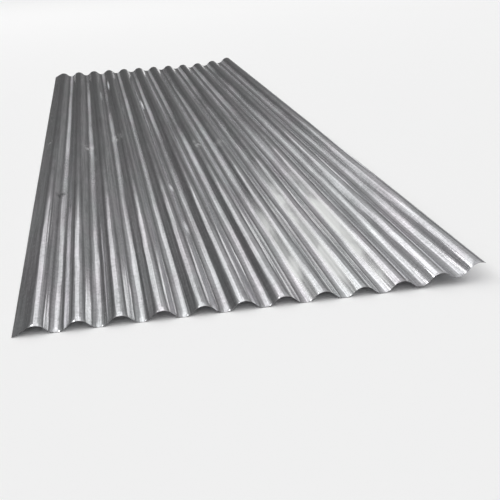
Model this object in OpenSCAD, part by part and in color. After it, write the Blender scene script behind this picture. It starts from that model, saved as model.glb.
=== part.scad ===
// Corrugated galvanized steel sheet: one rolled sheet with round waves, lying flat with its waves along Y.
// Lengths are millimetres and +Z is up. The origin is under the middle of the sheet, at floor level.

/* [Sheet] */
// Length along the waves
sheet_length = 3050; // [600:10:6000]
// Thickness of the steel with its zinc
steel_thickness = 0.5; // [0.3:0.05:1.5]

/* [Waves] */
// Number of crests across the sheet
crest_count = 12; // [4:1:16]
// Distance from one crest to the next
wave_pitch = 76; // [60:1:100]
// Depth of the waves, from the underside of a valley to the top of a crest
wave_depth = 18; // [12:0.5:26]
// Radius of the bends at crests and valleys, at mid-thickness
bend_radius = 24; // [8:0.5:30]

/* [Side edges] */
// Width of the down-turned side lap, from the first crest to the left edge
left_lap = 40; // [20:1:50]
// Gap between the floor and the left edge
left_gap = 0.3; // [0.1:0.1:6]
// Width of the up-turned side lap, from the last crest to the right edge
right_lap = 15; // [6:1:30]
// Height that the right edge springs up by
edge_rise = 22; // [0:1:40]
// Width, from the right edge, over which the sheet springs up
rise_width = 244; // [100:4:400]

/* [Bend facets] */
// Flat facets across one bend, an odd number so that the middle facet is level
bend_facets = 11; // [5:2:21]

/* [Hidden] */

// Zinc grey
zinc_colour = [0.62, 0.64, 0.65];

// Across the sheet, the first crest is at 0 and valleys lie half a pitch from the crests
half_pitch = wave_pitch / 2;
left_edge = -left_lap;
right_edge = (crest_count - 1) * wave_pitch + right_lap;
sheet_middle = (left_edge + right_edge) / 2;
rise_start = right_edge - rise_width;

// Rise of the mid-thickness line from a valley to a crest
swing = wave_depth - steel_thickness;

// A bend is no rounder than two arcs that meet without a straight flank between them
widest_radius = (half_pitch * half_pitch + swing * swing) / (4 * swing);
radius = min(bend_radius, widest_radius);

// Slope of the straight flank that touches the arcs of a valley and of the next crest
centre_drop = 2 * radius - swing;
centre_distance = norm([half_pitch, centre_drop]);
flank_angle = asin(min(1, 2 * radius / centre_distance)) - atan2(centre_drop, half_pitch);

// Half width of a bend, and its height from the extreme to where the flank begins
bend_reach = radius * sin(flank_angle);
bend_drop = radius * (1 - cos(flank_angle));

// The left lap runs straight from the first crest to its edge, and a short one ends at the slope of a flank
lap_drop = radius - swing + left_gap;
lap_distance = norm([left_lap, lap_drop]);
lap_angle = min(flank_angle, asin(min(1, radius / lap_distance)) - atan2(lap_drop, left_lap));
lap_start = -radius * sin(lap_angle);

// The level facet of a bend lies inside its true arc by this much
facet_sag = radius * (1 - cos(flank_angle / bend_facets));
floor_level = steel_thickness / 2 - facet_sag;

// Facets that end this near to the last one, or to a cut edge, are merged with it
least_facet = bend_reach / bend_facets / 2;

// Height of the mid-thickness line of the left lap
function lap_height(across) =
    swing - radius * (1 - cos(lap_angle)) - (lap_start - across) * tan(lap_angle);

// Height of the mid-thickness line of the waves at a place across them
function wave_height(across) =
    let (bend = round(across / half_pitch))
    let (away = abs(across - bend * half_pitch))
    let (on_arc = away < bend_reach)
    let (arc = radius - sqrt(max(0, radius * radius - away * away)))
    let (flank = bend_drop + (away - bend_reach) * tan(flank_angle))
    let (drop = on_arc ? arc : flank)
    bend % 2 == 0 ? swing - drop : drop;

// Extra height near the right edge, which grows as a parabola
function spring_height(across) =
    edge_rise * pow(max(0, across - rise_start) / rise_width, 2);

// Places across the sheet where a facet of a bend ends
function facet_places() = [
    for (bend = [0 : 2 * crest_count])
        for (facet = [0 : bend_facets])
            bend * half_pitch + radius * sin(flank_angle * (2 * facet / bend_facets - 1))
];

// Those places that lie between the left lap and the right edge, without slivers
function inner_places(places) = [
    for (i = [1 : len(places) - 1])
        let (clear_of_left = min(places[i] - lap_start, places[i] - places[i - 1]))
        let (clear_of_right = right_edge - places[i])
        if (min(clear_of_left, clear_of_right) > least_facet) places[i]
];

// Height of the mid-thickness line above the floor
function sheet_height(across) =
    let (rolled = across < lap_start ? lap_height(across) : wave_height(across))
    floor_level + rolled + spring_height(across);

// The mid-thickness line, from the left edge to the right edge
function middle_line() = [
    for (place = concat(left_edge, lap_start, inner_places(facet_places()), right_edge))
        [place - sheet_middle, sheet_height(place)]
];

// Unit normal of the stretch from one point to the next
function normal(from, to) =
    let (along = (to - from) / norm(to - from))
    [-along.y, along.x];

// Step to a parallel line where two stretches with these normals meet
function mitre(before, after) = (before + after) / (1 + before * after);

// A line parallel to another at a given distance, cut square at its ends
function parallel(line, distance) =
    let (last = len(line) - 1)
    let (normals = [for (i = [0 : last - 1]) normal(line[i], line[i + 1])])
    [for (i = [0 : last])
        line[i] + distance * mitre(normals[max(0, i - 1)], normals[min(last - 1, i)])];

function reversed(list) = [for (i = [len(list) - 1 : -1 : 0]) list[i]];

// Section across the waves, of one thickness all the way
module wave_section() {
    line = middle_line();
    top = parallel(line, steel_thickness / 2);
    underside = parallel(line, -steel_thickness / 2);
    polygon(concat(underside, reversed(top)));
}

// The whole sheet, with both ends sheared square
module corrugated_sheet() {
    color(zinc_colour)
        translate([0, sheet_length / 2, 0])
            rotate([90, 0, 0])
                linear_extrude(sheet_length)
                    wave_section();
}

corrugated_sheet();
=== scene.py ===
import math

import bmesh
import bpy
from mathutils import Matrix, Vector, noise


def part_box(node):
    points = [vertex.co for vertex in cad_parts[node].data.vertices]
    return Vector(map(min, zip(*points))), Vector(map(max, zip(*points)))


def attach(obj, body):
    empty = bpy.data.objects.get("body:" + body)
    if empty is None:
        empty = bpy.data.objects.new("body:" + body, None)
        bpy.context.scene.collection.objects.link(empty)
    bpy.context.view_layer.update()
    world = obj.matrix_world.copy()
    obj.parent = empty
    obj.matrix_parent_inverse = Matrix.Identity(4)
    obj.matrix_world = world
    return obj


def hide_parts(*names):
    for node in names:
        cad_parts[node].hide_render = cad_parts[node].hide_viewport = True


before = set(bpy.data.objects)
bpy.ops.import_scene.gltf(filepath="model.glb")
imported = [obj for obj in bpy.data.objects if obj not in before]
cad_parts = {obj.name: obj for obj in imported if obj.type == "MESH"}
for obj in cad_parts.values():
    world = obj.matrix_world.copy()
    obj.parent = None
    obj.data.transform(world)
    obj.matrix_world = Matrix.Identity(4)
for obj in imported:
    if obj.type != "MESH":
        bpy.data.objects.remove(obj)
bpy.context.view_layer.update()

SHEET_LOW, SHEET_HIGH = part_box("corrugated_sheet")
FRONT_END = SHEET_LOW.y
FAR_END = SHEET_HIGH.y

# Sizes of the rolled sheet, in metres
STEEL = 0.0005
PITCH = 0.076
DEPTH = 0.018
BEND_RADIUS = 0.024
CRESTS = 12
LEFT_LAP = 0.040
LEFT_GAP = 0.0003
RIGHT_LAP = 0.015
EDGE_RISE = 0.022
RISE_WIDTH = 0.244
CORNER_TWIST = 0.003

# The wave: arcs of one radius at crests and valleys, joined by straight flanks
HALF_STEEL = STEEL / 2
HALF_PITCH = PITCH / 2
SWING = DEPTH - STEEL
CENTRE_DROP = 2 * BEND_RADIUS - SWING
FLANK_ANGLE = (math.asin(2 * BEND_RADIUS / math.hypot(HALF_PITCH, CENTRE_DROP))
               - math.atan2(CENTRE_DROP, HALF_PITCH))
FLANK_RUN = HALF_PITCH - 2 * BEND_RADIUS * math.sin(FLANK_ANGLE)
CREST_CENTRE = HALF_STEEL + SWING - BEND_RADIUS
VALLEY_CENTRE = HALF_STEEL + BEND_RADIUS
FIRST_CREST = (LEFT_LAP - RIGHT_LAP - (CRESTS - 1) * PITCH) / 2
LEFT_EDGE = FIRST_CREST - LEFT_LAP
RIGHT_EDGE = FIRST_CREST + (CRESTS - 1) * PITCH + RIGHT_LAP

# The left lap runs straight from the first crest to its edge, just above the floor
LAP_DROP = BEND_RADIUS - SWING + LEFT_GAP
LAP_ANGLE = math.asin(BEND_RADIUS / math.hypot(LEFT_LAP, LAP_DROP)) - math.atan2(LAP_DROP, LEFT_LAP)

# The right edge ends on the bend of the last crest
END_ANGLE = math.asin(RIGHT_LAP / BEND_RADIUS)

# Fineness of the mesh: steps across a bend, rows along the sheet, and extra rows this far from both ends
BEND_STEPS = 10
LENGTH_ROWS = 140
END_ROWS = (0.0015, 0.004, 0.008)

# A face with an edge shorter than this is on the cut rim, and an edge sharper than this isn't smoothed
RIM_WIDTH = 2 * STEEL
SHARP_ANGLE = math.radians(50)

# The shear draws both ends down a little, at crests and valleys, but not on the left lap
END_DRAW = 0.0008
END_REACH = 0.010
LAP_WAVES = -0.1

# Unevenness of the thin sheet: size, swells per metre across and along, and a layer of the noise
WANDER = (0.0008, 4.0, 1.1, 3.0)
SWELL = (0.0005, 7.0, 1.8, 7.0)
RIPPLE = (0.00035, 16.0, 8.0, 11.0)

# The whole sheet is lifted by this much, so that the swells stay above the floor
LIFT = 0.0005

# Patches painted as highlights, and marks of handling, with a painted glint on the rubs: place across and
# along the sheet, half width and half length
PAINTED_HIGHLIGHT_PATCHES = [(0.107, -1.30, 0.014, 0.55), (0.183, -1.15, 0.015, 0.70), (0.259, -1.12, 0.015, 0.65)]
RUBS_AND_GLINTS = [(-0.194, 1.08, 0.007, 0.20), (-0.073, 0.58, 0.008, 0.17), (-0.080, -0.70, 0.010, 0.06),
        (-0.079, -1.04, 0.010, 0.09)]
RUB_DEPTH = 0.0006
SCUFFS = [(-0.428, -0.05, 0.018, 0.08), (-0.299, -0.12, 0.032, 0.08), (-0.196, -0.03, 0.042, 0.08),
          (0.056, -0.25, 0.034, 0.09), (0.125, -0.26, 0.028, 0.07)]
DARK_MARKS = [(-0.382, -0.665, 0.011, 0.032), (-0.371, -0.64, 0.010, 0.026)]

# Colours of the patches painted as highlights, the creases and the marks, where the rubs' pale colour is a
# painted glint
PAINTED_HIGHLIGHT_COLOUR = (0.93, 0.94, 0.93, 1)
CREASE_COLOUR = (0.86, 0.87, 0.88, 1)
# The rubs' pale colour is a painted glint
GLINT_COLOUR = (0.94, 0.95, 0.97, 1)
SCUFF_COLOUR = (0.88, 0.88, 0.88, 1)
DARK_MARK_COLOUR = (0.12, 0.12, 0.13, 1)

# Flakes of the spangle per metre
SPANGLE = 170.0

# Camera, with its turns in degrees and its lens in millimetres
CAMERA_PLACE = (-0.25213, -2.93841, 0.65427)
CAMERA_TURNS = (69.42204, 2.61181, -10.64877)
LENS = 61.35
SENSOR = 36
FARTHEST_SEEN = 200

# Floor and dome
FLOOR_RADIUS = 60
FLOOR_SIDES = 96
FLOOR_COLOUR = (0.94, 0.94, 0.94, 1)
OVERHEAD_LIGHT = 1.25
DOME_LIGHT = 1.6

# Soft lamps beyond the far end, turned to the front of the sheet: place, width, height and brightness
SOFTBOXES = {
    "low_softbox": ((-0.88, 6.5, 3.05), 2.15, 1.6, 0.56),
    "high_softbox": ((-0.1, 6.5, 4.65), 2.9, 1.6, 0.75),
    "left_softbox": ((-2.8, 6.5, 4.75), 1.5, 1.1, 2.8),
    "strip_softbox": ((3.1, 6.5, 0.8), 0.65, 1.5, 0.72),
}
LAMP_TARGET = (0, -1.4, 0)


# The sheet

def bend(bm, vert, centre_x, centre_z, angle):
    """Rolls the wire on from its last point around a bend, and returns the new last point."""
    steps = max(1, round(BEND_STEPS * abs(angle) / (2 * FLANK_ANGLE)))
    made = bmesh.ops.spin(bm, geom=[vert], cent=(centre_x, vert.co.y, centre_z), axis=(0, 1, 0),
                          dvec=(0, 0, 0), angle=angle, steps=steps, use_merge=False, use_duplicate=False)
    return next(part for part in made["geom_last"] if isinstance(part, bmesh.types.BMVert))


def flank(bm, vert, run, slope):
    """Draws the wire on along a straight flank, and returns the new last point."""
    steps = max(1, round(run / FLANK_RUN))
    for _ in range(steps):
        made = bmesh.ops.extrude_vert_indiv(bm, verts=[vert])
        vert = made["verts"][0]
        bmesh.ops.translate(bm, verts=[vert], vec=(run / steps, 0, slope * run / steps))
    return vert


def wave_wire(bm):
    """The line of the sheet's upper face across the waves, from the left edge to the right edge."""
    slope = math.tan(FLANK_ANGLE)
    crest_radius = BEND_RADIUS + HALF_STEEL
    valley_radius = BEND_RADIUS - HALF_STEEL
    vert = bm.verts.new((LEFT_EDGE - HALF_STEEL * math.sin(LAP_ANGLE), FRONT_END,
                         HALF_STEEL + LEFT_GAP + HALF_STEEL * math.cos(LAP_ANGLE)))
    lap_end = FIRST_CREST - crest_radius * math.sin(LAP_ANGLE)
    vert = flank(bm, vert, lap_end - vert.co.x, math.tan(LAP_ANGLE))
    vert = bend(bm, vert, FIRST_CREST, CREST_CENTRE, LAP_ANGLE + FLANK_ANGLE)
    for wave in range(1, CRESTS):
        crest_x = FIRST_CREST + wave * PITCH
        valley_x = crest_x - HALF_PITCH
        valley_start = valley_x - valley_radius * math.sin(FLANK_ANGLE)
        crest_start = crest_x - crest_radius * math.sin(FLANK_ANGLE)
        angle_past_crest = FLANK_ANGLE if wave < CRESTS - 1 else END_ANGLE
        vert = flank(bm, vert, valley_start - vert.co.x, -slope)
        vert = bend(bm, vert, valley_x, VALLEY_CENTRE, -2 * FLANK_ANGLE)
        vert = flank(bm, vert, crest_start - vert.co.x, slope)
        vert = bend(bm, vert, crest_x, CREST_CENTRE, FLANK_ANGLE + angle_past_crest)


def spring_height(x, y):
    """How far the sheet springs up near its right edge, a little more at the front corner."""
    risen = max(0.0, x - RIGHT_EDGE + RISE_WIDTH) / RISE_WIDTH
    towards_front = (FAR_END - y) / (FAR_END - FRONT_END)
    return EDGE_RISE * risen ** 2 + CORNER_TWIST * towards_front * risen ** 3


def stray(x, y, size, across, along, layer):
    """How far one kind of unevenness moves a place."""
    return size * noise.noise((x * across, y * along, layer))


def drawn_down(x, y):
    """How far the sheared ends are drawn down at a place."""
    near_end = max(0.0, 1 - (FAR_END - abs(y)) / END_REACH)
    waves = (x - FIRST_CREST) / PITCH
    on_bend = 0.5 + 0.5 * math.cos(4 * math.pi * waves) if waves > LAP_WAVES else 0.0
    return END_DRAW * near_end ** 2 * on_bend


def pressed_in(x, y):
    """How deep the rubs are at a place."""
    depth = 0.0
    for rub_x, rub_y, half_width, half_length in RUBS_AND_GLINTS:
        inside = max(0.0, 1 - math.hypot((x - rub_x) / half_width, (y - rub_y) / half_length))
        depth += RUB_DEPTH * inside ** 2 * (3 - 2 * inside)
    return depth


def unevenness(x, y):
    """How far a place on the thin sheet strays sideways and upwards."""
    lifted = LIFT + stray(x, y, *SWELL) + stray(x, y, *RIPPLE) - drawn_down(x, y)
    return stray(x, y, *WANDER), max(0.0, lifted) - pressed_in(x, y)


def cut_rows(bm):
    """Cuts extra rows across the sheet near both ends."""
    for row in [sign * (FAR_END - distance) for distance in END_ROWS for sign in (-1, 1)]:
        bmesh.ops.bisect_plane(bm, geom=bm.verts[:] + bm.edges[:] + bm.faces[:],
                               plane_co=(0, row, 0), plane_no=(0, 1, 0))


def rolled_sheet(materials):
    """The sheet as a thin closed shell with smooth bends."""
    bm = bmesh.new()
    wave_wire(bm)
    made = bmesh.ops.extrude_edge_only(bm, edges=bm.edges[:])
    far_end = [part for part in made["geom"] if isinstance(part, bmesh.types.BMVert)]
    bmesh.ops.translate(bm, verts=far_end, vec=(0, FAR_END - FRONT_END, 0))
    length_edges = [edge for edge in bm.edges
                    if abs(edge.verts[0].co.y - edge.verts[1].co.y) > PITCH]
    bmesh.ops.subdivide_edges(bm, edges=length_edges, cuts=LENGTH_ROWS - 1, use_grid_fill=True)
    cut_rows(bm)
    bmesh.ops.recalc_face_normals(bm, faces=bm.faces[:])
    if sum(face.normal.z for face in bm.faces) < 0:
        bmesh.ops.reverse_faces(bm, faces=bm.faces[:])
    for vert in bm.verts:
        sideways, upwards = unevenness(vert.co.x, vert.co.y)
        upwards += spring_height(vert.co.x, vert.co.y)
        vert.co.x += sideways
        vert.co.z += upwards
    bmesh.ops.solidify(bm, geom=bm.faces[:], thickness=STEEL)
    for face in bm.faces:
        face.smooth = True
        is_rim = min(edge.calc_length() for edge in face.edges) < RIM_WIDTH
        face.material_index = 1 if is_rim else 0
    mesh = bpy.data.meshes.new("galvanized_sheet")
    bm.to_mesh(mesh)
    bm.free()
    mesh.set_sharp_from_angle(angle=SHARP_ANGLE)
    sheet = bpy.data.objects.new("galvanized_sheet", mesh)
    bpy.context.scene.collection.objects.link(sheet)
    for material in materials:
        mesh.materials.append(material)
    return sheet


# Nodes

def add(tree, kind, **settings):
    """A new node with its properties set."""
    made = tree.nodes.new(kind)
    for name, value in settings.items():
        setattr(made, name, value)
    return made


def feed(tree, socket, value):
    """Gives an input a number or another node's output."""
    if isinstance(value, bpy.types.NodeSocket):
        tree.links.new(value, socket)
    else:
        socket.default_value = value


def calc(tree, operation, first, second=0.0):
    """The output of a Math node."""
    made = add(tree, "ShaderNodeMath", operation=operation)
    feed(tree, made.inputs[0], first)
    feed(tree, made.inputs[1], second)
    return made.outputs[0]


def product(tree, first, *others):
    """The product of values."""
    for other in others:
        first = calc(tree, "MULTIPLY", first, other)
    return first


def total(tree, *weighted):
    """The sum of values, each with its weight."""
    result = None
    for value, weight in weighted:
        part = calc(tree, "MULTIPLY", value, weight)
        result = part if result is None else calc(tree, "ADD", result, part)
    return result


def ramp(tree, value, *stops):
    """The output of a colour ramp; a stop is a place and a grey or a colour."""
    made = add(tree, "ShaderNodeValToRGB")
    elements = made.color_ramp.elements
    while len(elements) < len(stops):
        elements.new(1.0)
    for element, (place, shade) in zip(elements, stops):
        element.position = place
        element.color = (shade, shade, shade, 1) if isinstance(shade, float) else (*shade, 1)
    feed(tree, made.inputs["Fac"], value)
    return made.outputs["Color"]


def spread(tree, value, low, high, new_low, new_high):
    """The output of a Map Range node."""
    made = add(tree, "ShaderNodeMapRange")
    for socket, number in zip(made.inputs, (value, low, high, new_low, new_high)):
        feed(tree, socket, number)
    return made.outputs["Result"]


def laid_over(tree, mask, under, over):
    """One colour over another where the mask is."""
    made = add(tree, "ShaderNodeMix", data_type="RGBA")
    feed(tree, made.inputs[0], mask)
    feed(tree, made.inputs[6], under)
    feed(tree, made.inputs[7], over)
    return made.outputs[2]


def tinted(tree, colour, tint):
    """A colour multiplied by another."""
    made = add(tree, "ShaderNodeMix", data_type="RGBA", blend_type="MULTIPLY")
    feed(tree, made.inputs[0], 1.0)
    feed(tree, made.inputs[6], colour)
    feed(tree, made.inputs[7], tint)
    return made.outputs[2]


def coordinates(tree, kind):
    """One kind of texture coordinates."""
    return add(tree, "ShaderNodeTexCoord").outputs[kind]


def axes(tree, vector):
    """The X, Y and Z of a vector, as three outputs."""
    split = add(tree, "ShaderNodeSeparateXYZ")
    feed(tree, split.inputs[0], vector)
    return split.outputs["X"], split.outputs["Y"], split.outputs["Z"]


def new_group(name, inputs, output):
    """An empty shader node group with named number sockets, and its two end nodes."""
    tree = bpy.data.node_groups.new(name, "ShaderNodeTree")
    for socket, value in inputs:
        made = tree.interface.new_socket(socket, in_out="INPUT", socket_type="NodeSocketFloat")
        made.default_value = value
    tree.interface.new_socket(output, in_out="OUTPUT", socket_type="NodeSocketFloat")
    return tree, tree.nodes.new("NodeGroupInput"), tree.nodes.new("NodeGroupOutput")


def place_group(tree, group, *values):
    """The output of a node group placed in a material with its own values."""
    made = add(tree, "ShaderNodeGroup", node_tree=group)
    for socket, value in zip(made.inputs, values):
        feed(tree, socket, value)
    return made.outputs[0]


def drawn_grain_group():
    """Streaks along the sheet, as rolls draw them, or plain grain at a stretch of 1."""
    tree, given, result = new_group(
        "drawn_grain",
        [("Lines per metre", 100.0), ("Stretch", 40.0)],
        "Value")
    shrink = add(tree, "ShaderNodeCombineXYZ")
    feed(tree, shrink.inputs["X"], 1.0)
    feed(tree, shrink.inputs["Y"], calc(tree, "DIVIDE", 1.0, given.outputs["Stretch"]))
    feed(tree, shrink.inputs["Z"], 1.0)
    scaled = add(tree, "ShaderNodeVectorMath", operation="MULTIPLY")
    feed(tree, scaled.inputs[0], coordinates(tree, "Object"))
    feed(tree, scaled.inputs[1], shrink.outputs[0])
    lines = add(tree, "ShaderNodeTexNoise")
    feed(tree, lines.inputs["Vector"], scaled.outputs[0])
    feed(tree, lines.inputs["Scale"], given.outputs["Lines per metre"])
    feed(tree, lines.inputs["Detail"], 3.0)
    feed(tree, result.inputs["Value"], lines.outputs["Fac"])
    return tree


def spot_group():
    """A soft oval patch, 1 at its centre and 0 outside."""
    tree, given, result = new_group(
        "spot",
        [("Centre X", 0.0), ("Centre Y", 0.0), ("Half width", 0.01), ("Half length", 0.01)],
        "Mask")
    across, along, _ = axes(tree, coordinates(tree, "Object"))
    across = calc(tree, "SUBTRACT", across, given.outputs["Centre X"])
    along = calc(tree, "SUBTRACT", along, given.outputs["Centre Y"])
    across = calc(tree, "POWER", calc(tree, "DIVIDE", across, given.outputs["Half width"]), 2.0)
    along = calc(tree, "POWER", calc(tree, "DIVIDE", along, given.outputs["Half length"]), 2.0)
    reach = add(tree, "ShaderNodeMapRange", interpolation_type="SMOOTHSTEP")
    feed(tree, reach.inputs["Value"], calc(tree, "SQRT", calc(tree, "ADD", across, along)))
    feed(tree, reach.inputs["From Min"], 1.0)
    feed(tree, reach.inputs["From Max"], 0.0)
    feed(tree, result.inputs["Mask"], reach.outputs["Result"])
    return tree


# Finishes

def bare_metal(name):
    """A new metal, with its node tree and its shader."""
    material = bpy.data.materials.new(name)
    material.use_nodes = True
    shader = material.node_tree.nodes["Principled BSDF"]
    shader.inputs["Metallic"].default_value = 1.0
    return material, material.node_tree, shader


def patches(tree, spot, places):
    """Soft oval patches at all the given places."""
    return total(tree, *[(place_group(tree, spot, *place), 1.0) for place in places])


def spangle(tree, place):
    """Two random values for each flake of the zinc."""
    flakes = add(tree, "ShaderNodeTexVoronoi")
    feed(tree, flakes.inputs["Vector"], place)
    feed(tree, flakes.inputs["Scale"], SPANGLE)
    split = add(tree, "ShaderNodeSeparateColor")
    feed(tree, split.inputs[0], flakes.outputs["Color"])
    return split.outputs[0], split.outputs[1]


def crease_mask(tree, grain, wave_place, along):
    """Thin creases left by the rolls beside crests and valleys, which come and go, and fade further back."""
    rolled = ramp(tree, wave_place, (0.13, 0.0), (0.15, 1.0), (0.175, 0.0), (0.195, 0.0), (0.21, 0.8),
                  (0.225, 0.0), (0.66, 0.0), (0.68, 0.6), (0.70, 0.0))
    pressed = spread(tree, place_group(tree, grain, 9.0, 8.0), 0.48, 0.66, 0.0, 1.0)
    nearness = spread(tree, along, -1.0, 0.2, 1.0, 0.15)
    return product(tree, rolled, pressed, nearness)


def worn_valley_mask(tree, grain, wave_place, across, along):
    """Rougher valleys, away from the front end, a little further right on the waves at the right."""
    shift = spread(tree, across, -0.4, 0.2, 0.0, 0.14)
    valley_place = calc(tree, "SUBTRACT", wave_place, shift)
    valley = ramp(tree, valley_place, (0.44, 0.0), (0.53, 1.0), (0.61, 1.0), (0.71, 0.0))
    worn = spread(tree, place_group(tree, grain, 13.0, 12.0), 0.36, 0.64, 0.45, 1.3)
    distance = spread(tree, along, -1.2, -0.4, 0.03, 1.25)
    return product(tree, valley, worn, distance)


def zinc_material(grain, spot):
    """Bright zinc with a faint spangle, roll streaks, patches painted as highlights and marks of handling,
    the rubs with a painted glint.
    """
    material, tree, shader = bare_metal("galvanized_zinc")
    place = coordinates(tree, "Object")
    across, along, _ = axes(tree, place)
    band = place_group(tree, grain, 26.0, 26.0)
    streak = place_group(tree, grain, 130.0, 45.0)
    hair = place_group(tree, grain, 420.0, 40.0)
    cloud = place_group(tree, grain, 11.0, 2.5)
    mottle = place_group(tree, grain, 240.0, 2.0)
    hue = place_group(tree, grain, 17.0, 4.0)
    flake_shade, flake_gloss = spangle(tree, place)

    # Marks of the rolls, from the first crest on, by the place on a wave from one crest (0) to the next (1)
    crests_passed = calc(tree, "DIVIDE", calc(tree, "SUBTRACT", across, FIRST_CREST), PITCH)
    wave_place = calc(tree, "FRACT", calc(tree, "ADD", crests_passed, calc(tree, "MULTIPLY", band, 0.06)))
    past_lap = calc(tree, "GREATER_THAN", crests_passed, 0.0)
    crease = product(tree, crease_mask(tree, grain, wave_place, along), past_lap)
    worn_valley = product(tree, worn_valley_mask(tree, grain, wave_place, across, along), past_lap)
    chatter = product(tree, worn_valley, place_group(tree, grain, 40.0, 0.22))

    # Patches painted as highlights, and marks of handling: rubs with a painted glint, scuffs and small dark
    # marks
    highlight_blotch = spread(tree, place_group(tree, grain, 24.0, 4.0), 0.40, 0.60, 0.8, 1.7)
    painted_highlight = product(tree, patches(tree, spot, PAINTED_HIGHLIGHT_PATCHES), highlight_blotch)
    rub_and_glint = patches(tree, spot, RUBS_AND_GLINTS)
    scratches = spread(tree, place_group(tree, grain, 70.0, 3.0), 0.42, 0.58, 0.12, 0.6)
    scuffed = product(tree, patches(tree, spot, SCUFFS), scratches)
    specks = spread(tree, mottle, 0.40, 0.56, 0.35, 1.2)
    dark_marked = product(tree, patches(tree, spot, DARK_MARKS), specks)

    # Colour
    shade = total(tree, (band, 0.2), (streak, 0.3), (hair, 0.2), (cloud, 0.15), (mottle, 0.1),
                  (flake_shade, 0.05))
    colour = ramp(tree, shade, (0.40, 0.40), (0.5, 0.61), (0.60, 0.80))
    tint = ramp(tree, hue, (0.38, (1.0, 0.97, 1.02)), (0.5, (0.98, 0.98, 1.015)),
                (0.62, (0.965, 0.99, 1.01)))
    colour = tinted(tree, colour, tint)
    # Pale patches painted as highlights on the flanks of the waves at the right
    colour = laid_over(tree, painted_highlight, colour, PAINTED_HIGHLIGHT_COLOUR)
    colour = laid_over(tree, crease, colour, CREASE_COLOUR)
    # The rubs are shallow dents and rougher zinc, and their pale colour is a painted glint
    colour = laid_over(tree, rub_and_glint, colour, GLINT_COLOUR)
    colour = laid_over(tree, scuffed, colour, SCUFF_COLOUR)
    # Small dark marks laid over the colour
    colour = laid_over(tree, dark_marked, colour, DARK_MARK_COLOUR)
    feed(tree, shader.inputs["Base Color"], colour)

    # Gloss
    gloss = spread(tree, shade, 0.38, 0.62, 0.14, 0.05)
    roughness = total(tree, (gloss, 1.0), (worn_valley, 0.18), (painted_highlight, 0.30), (crease, 0.36),
                      (rub_and_glint, 0.45), (scuffed, 0.35), (flake_gloss, 0.03))
    feed(tree, shader.inputs["Roughness"], roughness)

    # Relief, in metres
    relief = total(tree, (band, 0.0007), (streak, 0.0004), (hair, 0.00003), (mottle, 0.000004),
                   (crease, 0.0003), (chatter, 0.0004))
    bump = add(tree, "ShaderNodeBump")
    feed(tree, bump.inputs["Distance"], 1.0)
    feed(tree, bump.inputs["Height"], relief)
    feed(tree, shader.inputs["Normal"], bump.outputs["Normal"])
    return material


def sheared_edge_material(grain):
    """Bare steel where the sheet was cut."""
    material, tree, shader = bare_metal("sheared_edge")
    shader.inputs["Roughness"].default_value = 0.5
    burr = place_group(tree, grain, 900.0, 1.0)
    feed(tree, shader.inputs["Base Color"], ramp(tree, burr, (0.0, 0.10), (1.0, 0.36)))
    return material


# Studio

def camera():
    """The camera, at the photo's viewing angle."""
    lens = bpy.data.cameras.new("camera")
    lens.sensor_width = SENSOR
    lens.lens = LENS
    lens.clip_end = FARTHEST_SEEN
    holder = bpy.data.objects.new("camera", lens)
    holder.location = CAMERA_PLACE
    holder.rotation_euler = [math.radians(turn) for turn in CAMERA_TURNS]
    bpy.context.scene.collection.objects.link(holder)
    bpy.context.scene.camera = holder


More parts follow.
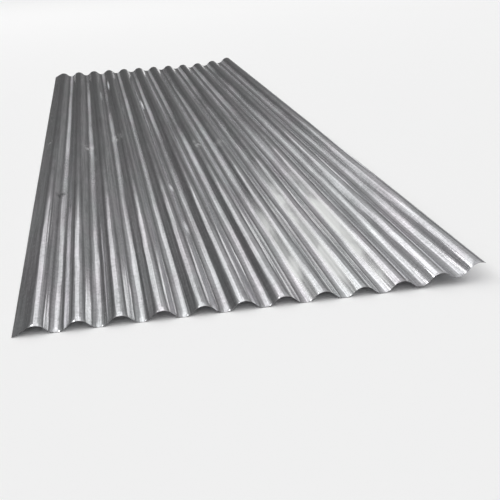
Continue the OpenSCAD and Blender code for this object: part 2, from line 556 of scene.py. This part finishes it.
def studio_dome():
    """A soft dome of light, dim near the horizon, with a low glow, and brightest high up at both sides."""
    world = bpy.data.worlds.new("studio_dome")
    bpy.context.scene.world = world
    world.use_nodes = True
    tree = world.node_tree
    right, _, up = axes(tree, coordinates(tree, "Generated"))
    side = spread(tree, right, -1.0, 1.0, 0.0, 1.0)

    # The sky grows brighter with height, and is dimmer at the left
    sky = ramp(tree, up, (0.0, 0.04), (0.17, 0.065), (0.24, 0.12), (0.31, 0.25), (0.40, 0.315),
               (0.52, 0.40))
    sky = product(tree, sky, spread(tree, right, -0.5, 0.1, 0.62, 1.0))

    # The light from high up is dimmer in the middle than at both sides
    overhead = ramp(tree, up, (0.46, 0.0), (0.62, 1.0))
    both_sides = ramp(tree, side, (0.17, 1.0), (0.32, 0.42), (0.68, 0.42), (0.83, 1.0))
    overhead = product(tree, overhead, both_sides, OVERHEAD_LIGHT)

    # The low glow is strongest at the right
    glow = ramp(tree, up, (0.0, 0.19), (0.13, 0.155), (0.22, 0.0))
    glow_sides = ramp(tree, side, (0.34, 0.58), (0.44, 0.1), (0.53, 0.1), (0.60, 0.6), (0.71, 1.0))
    glow = product(tree, glow, glow_sides)

    background = tree.nodes["Background"]
    light = calc(tree, "ADD", calc(tree, "MAXIMUM", sky, overhead), glow)
    feed(tree, background.inputs["Color"], light)
    feed(tree, background.inputs["Strength"], DOME_LIGHT)


def softbox(name, place, width, height, brightness):
    """A rectangular lamp whose face has the given brightness, where 1 is white."""
    lamp = bpy.data.lights.new(name, "AREA")
    lamp.shape = "RECTANGLE"
    lamp.size = width
    lamp.size_y = height
    lamp.energy = brightness * math.pi * width * height
    holder = bpy.data.objects.new(name, lamp)
    holder.location = place
    holder.rotation_euler = (Vector(LAMP_TARGET) - Vector(place)).to_track_quat("-Z", "Y").to_euler()
    holder.visible_camera = False
    bpy.context.scene.collection.objects.link(holder)


def floor():
    """A wide plain floor that the sheet lies on."""
    mesh = bpy.data.meshes.new("floor")
    bm = bmesh.new()
    bmesh.ops.create_circle(bm, cap_ends=True, segments=FLOOR_SIDES, radius=FLOOR_RADIUS)
    bm.to_mesh(mesh)
    bm.free()
    plane = bpy.data.objects.new("floor", mesh)
    bpy.context.scene.collection.objects.link(plane)
    material = bpy.data.materials.new("pale_floor")
    material.use_nodes = True
    shader = material.node_tree.nodes["Principled BSDF"]
    shader.inputs["Base Color"].default_value = FLOOR_COLOUR
    shader.inputs["Roughness"].default_value = 0.9
    shader.inputs["Specular IOR Level"].default_value = 0.0
    mesh.materials.append(material)


camera()
studio_dome()
for name, settings in SOFTBOXES.items():
    softbox(name, *settings)
floor()

grain = drawn_grain_group()
sheet = rolled_sheet([zinc_material(grain, spot_group()), sheared_edge_material(grain)])
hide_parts("corrugated_sheet")
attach(sheet, "root")

bpy.context.scene.view_settings.view_transform = "Standard"
